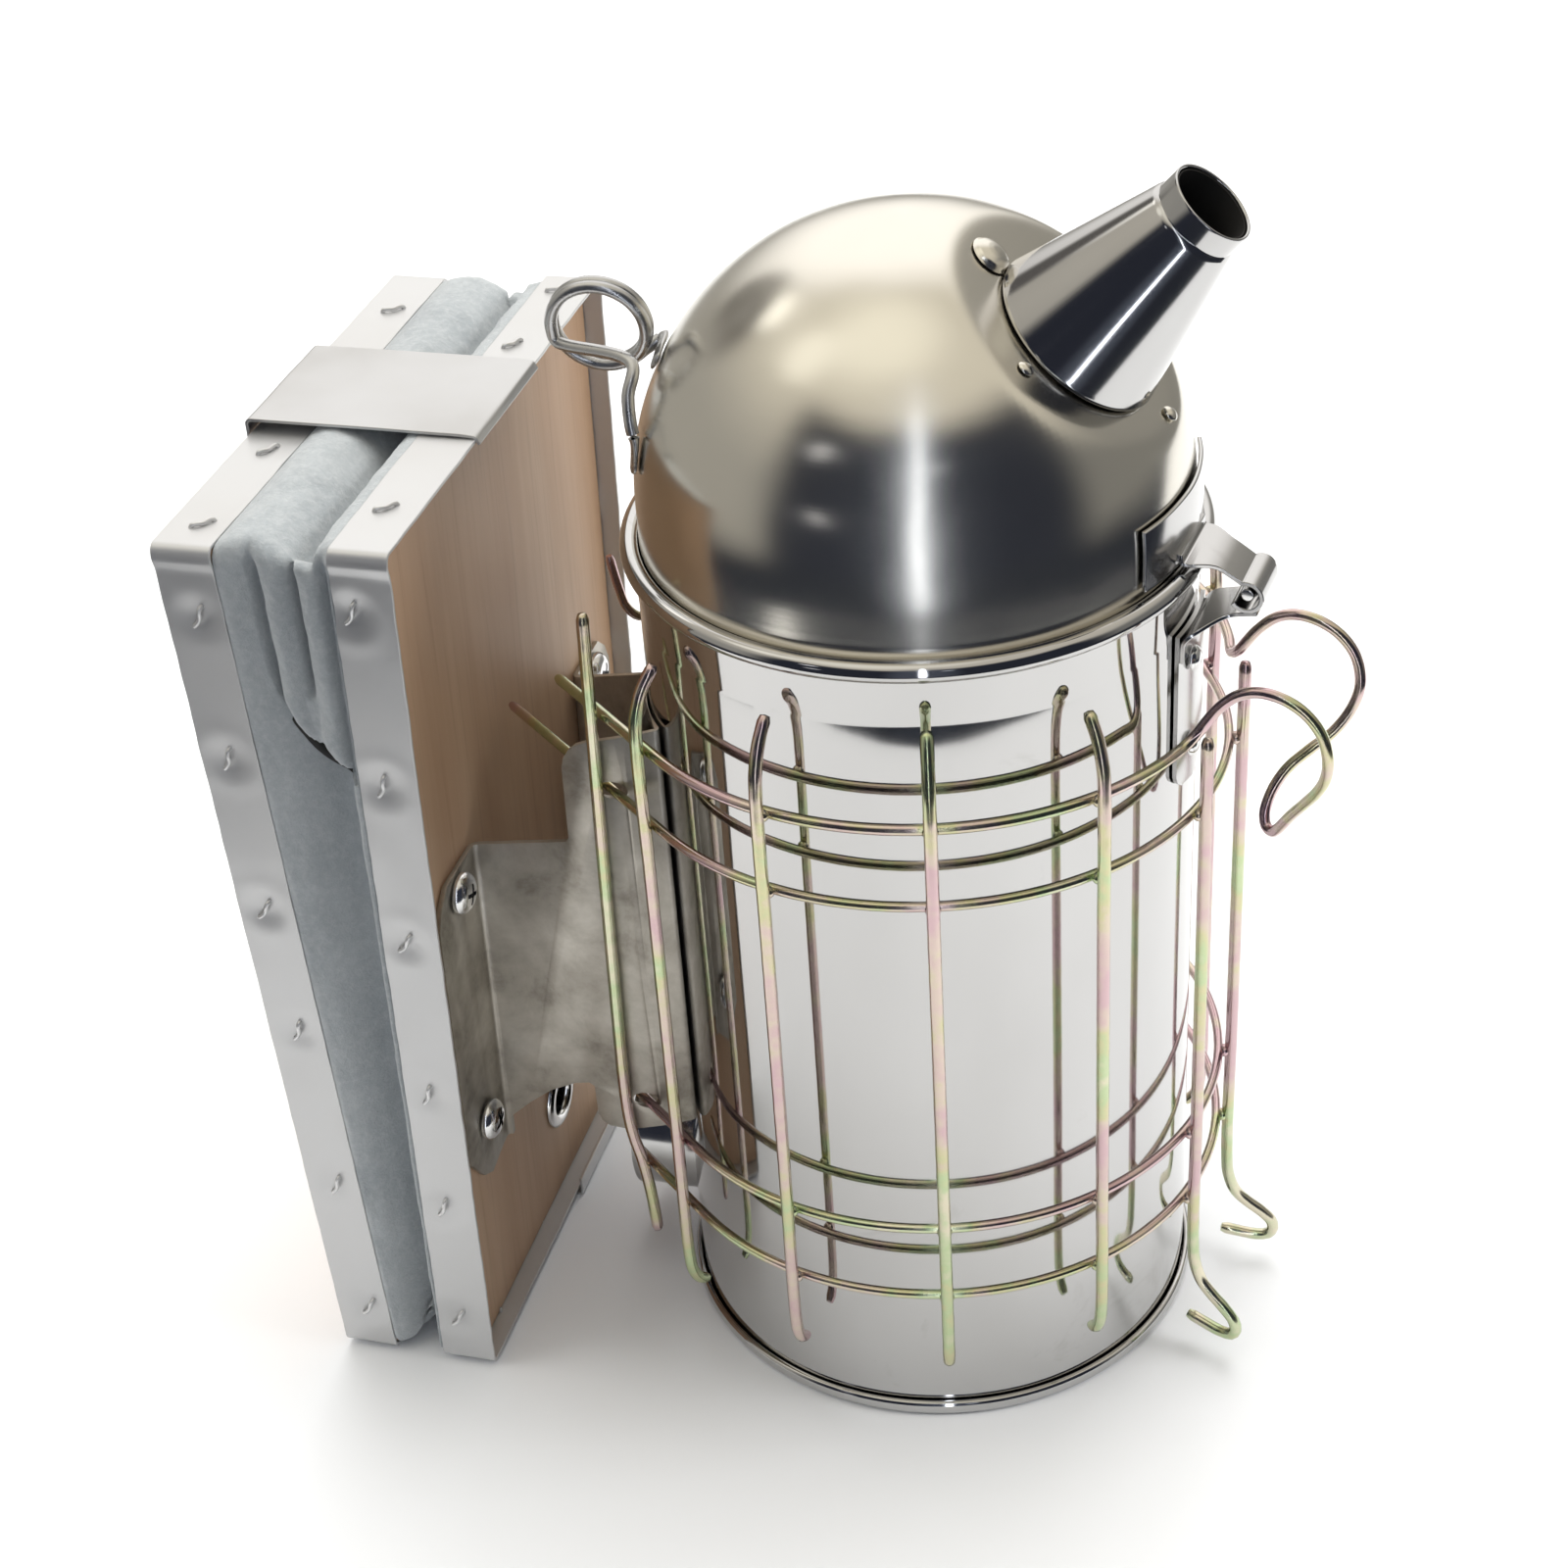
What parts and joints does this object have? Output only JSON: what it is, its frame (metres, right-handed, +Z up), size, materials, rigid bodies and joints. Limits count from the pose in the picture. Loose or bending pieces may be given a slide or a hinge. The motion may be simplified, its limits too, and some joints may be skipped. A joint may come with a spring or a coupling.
{
  "type": "bee smoker",
  "caption": "Hand bee smoker: round steel fire pot with a domed spouted lid, wire heat guard with hook, and wooden bellows on a sheet bracket.",
  "frame": {"origin": "middle of the fire pot's flat foot, on the surface that the smoker stands on", "axes": "+Z up along the fire pot, -X towards the bellows, +Y to the right hand of someone who looks from the pot towards the bellows"},
  "size_m": [0.2035, 0.1197, 0.2448],
  "materials": {
    "steel_mirror": "polished stainless steel",
    "steel_brushed": "satin stainless steel",
    "grate_steel": "dull steel sheet",
    "bright_wire": "bright steel",
    "zinc_wire": "yellow zinc plated",
    "galvanised": "dull galvanised sheet",
    "chrome": "bright",
    "plywood": "plain tan board",
    "tinplate": "bright tinplate",
    "suede": "grey suede",
    "flap_leather": "brown leather"
  },
  "bodies": {
    "fire_pot": {"can_body": "steel_mirror", "can_base": "steel_mirror", "ash_grate": "grate_steel", "air_tube": "steel_brushed", "bracket": "galvanised", "bracket_screw_1": "chrome", "bracket_screw_2": "chrome", "bracket_screw_3": "chrome", "bracket_screw_4": "chrome", "lower_hinge_leaf": "steel_brushed", "hinge_pin": "bright_wire", "hinge_rivet_1": "bright_wire", "hinge_rivet_2": "bright_wire", "guard_ring_1": "zinc_wire", "guard_ring_2": "zinc_wire", "guard_ring_3": "zinc_wire", "guard_ring_4": "zinc_wire", "guard_bar_1": "zinc_wire", "guard_bar_2": "zinc_wire", "guard_bar_3": "zinc_wire", "guard_bar_4": "zinc_wire", "guard_bar_5": "zinc_wire", "guard_bar_6": "zinc_wire", "guard_bar_7": "zinc_wire", "guard_bar_8": "zinc_wire", "guard_bar_9": "zinc_wire", "guard_bar_10": "zinc_wire", "guard_bar_11": "zinc_wire", "guard_bar_12": "zinc_wire", "front_board": "plywood", "front_edge_strip": "tinplate", "outlet_eyelet": "bright_wire", "bottom_strap": "tinplate", "bellows_cover": "suede", "bellows_spring": "bright_wire"},
    "lid": {"lid_dome": "steel_brushed", "nozzle": "steel_mirror", "nozzle_boss_1": "steel_mirror", "nozzle_boss_2": "steel_mirror", "nozzle_boss_3": "steel_mirror", "upper_hinge_leaf": "steel_brushed", "coil_handle": "bright_wire", "handle_pad_1": "bright_wire", "handle_pad_2": "bright_wire"},
    "rear_panel": {"rear_board": "plywood", "rear_edge_strip": "tinplate"},
    "flap": {"valve_flap": "flap_leather"},
    "strap": {"retaining_strap": "tinplate"}
  },
  "joints": [
    {"name": "lid_hinge", "type": "hinge", "parent": "fire_pot", "child": "lid", "pos_m": [0.0616, -0.00702, 0.1702], "axis": [0.1132, 0.9936, 0], "range_deg": [0, 105]},
    {"name": "bellows_squeeze", "type": "hinge", "parent": "fire_pot", "child": "rear_panel", "pos_m": [-0.1026, 0, 0.001], "axis": [0, 1, 0], "range_deg": [0, 4.5], "stiffness_Nm_per_rad": 1.5, "springref_deg": -8.59, "deforming": ["bellows_cover", "bellows_spring"]},
    {"name": "valve_flap_hinge", "type": "hinge", "parent": "rear_panel", "child": "flap", "pos_m": [-0.10665, 0, 0.108], "axis": [0, -1, 0], "range_deg": [0, 12]},
    {"name": "strap_lift", "type": "slide", "parent": "fire_pot", "child": "strap", "axis": [0, 0, 1], "range_m": [0, 0.06]}
  ]
}
